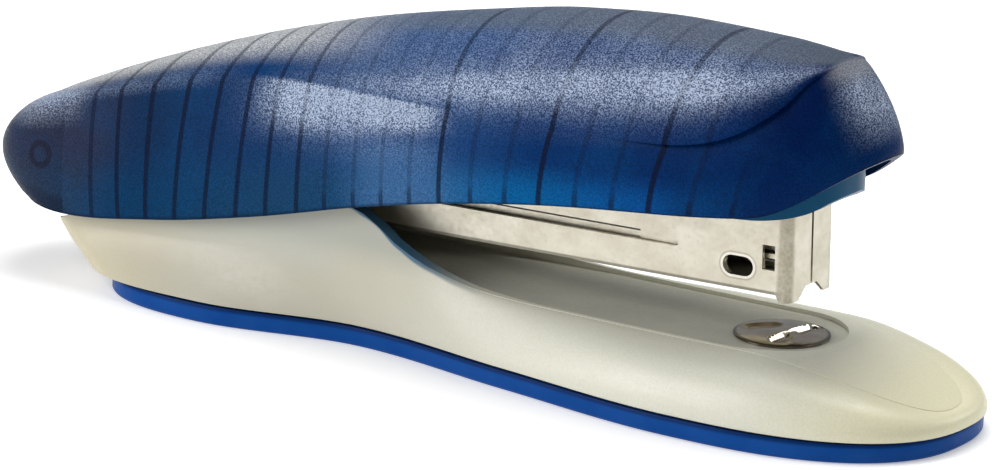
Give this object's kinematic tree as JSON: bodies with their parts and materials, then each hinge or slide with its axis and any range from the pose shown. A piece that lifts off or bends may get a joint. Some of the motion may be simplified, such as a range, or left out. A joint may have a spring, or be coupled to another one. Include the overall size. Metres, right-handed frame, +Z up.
{
  "type": "desktop stapler",
  "caption": "Full-strip desktop stapler: frosted blue cover over a nickel magazine, with a turning chrome anvil on a pearl base with a blue sole.",
  "frame": {"origin": "on the table, under the middle of the overall length, on the mirror plane", "axes": "+X towards the nose, +Y to the stapler's left, +Z up"},
  "size_m": [0.1916, 0.052, 0.0624],
  "materials": {
    "blue_cover": "frosted translucent with fine sparkle",
    "teal_liner": "translucent",
    "pearl_plastic": "satin pearl",
    "blue_sole": "satin",
    "nickel_sheet": "satin nickel plate",
    "anvil_chrome": "polished",
    "inner_steel": "satin",
    "spring_steel": "satin",
    "black_plastic": "matte"
  },
  "bodies": {
    "base": {"base_shell": "pearl_plastic", "base_sole": "blue_sole", "hinge_bracket": "inner_steel", "bracket_rivet_rear": "inner_steel", "bracket_rivet_near": "inner_steel", "bracket_rivet_far": "inner_steel", "hinge_pin": "inner_steel", "return_spring": "spring_steel"},
    "anvil": {"anvil": "anvil_chrome", "anvil_clip": "inner_steel"},
    "magazine": {"magazine_channel": "nickel_sheet", "staple_rail": "nickel_sheet", "rail_pin": "inner_steel", "tail_block": "black_plastic", "pusher_rod": "inner_steel", "pusher_spring": "spring_steel"},
    "pusher": {"pusher": "nickel_sheet"},
    "cover": {"top_cover": "blue_cover", "nose_liner": "teal_liner", "handle_frame": "inner_steel", "cover_screw_rear": "inner_steel", "cover_screw_front": "inner_steel", "handle_spring": "spring_steel", "handle_spring_rivet": "inner_steel", "driver_blade": "inner_steel", "driver_rivet_near": "inner_steel", "driver_rivet_far": "inner_steel", "pivot_bush_near": "black_plastic", "pivot_bush_far": "black_plastic"}
  },
  "joints": [
    {"name": "magazine_hinge", "type": "hinge", "parent": "base", "child": "magazine", "pos_m": [-0.0817, 0, 0.0218], "axis": [0, 1, 0], "range_deg": [-30, 2.5], "stiffness_Nm_per_rad": 12, "springref_deg": -0.52, "deforming": ["return_spring"]},
    {"name": "cover_hinge", "type": "hinge", "parent": "magazine", "child": "cover", "pos_m": [-0.0817, 0, 0.0218], "axis": [0, 1, 0], "range_deg": [-36, 3], "stiffness_Nm_per_rad": 6, "springref_deg": -0.46, "deforming": ["handle_spring"]},
    {"name": "pusher_slide", "type": "slide", "parent": "magazine", "child": "pusher", "axis": [0.9997, 0, 0.0248], "range_m": [-0.088, 0], "stiffness_N_per_m": 30, "springref_m": 0.05, "deforming": ["pusher_spring"]},
    {"name": "anvil_turn", "type": "hinge", "parent": "base", "child": "anvil", "pos_m": [0.0605, 0, 0.0135], "axis": [0, 0, 1], "range_deg": [0, 180]}
  ]
}
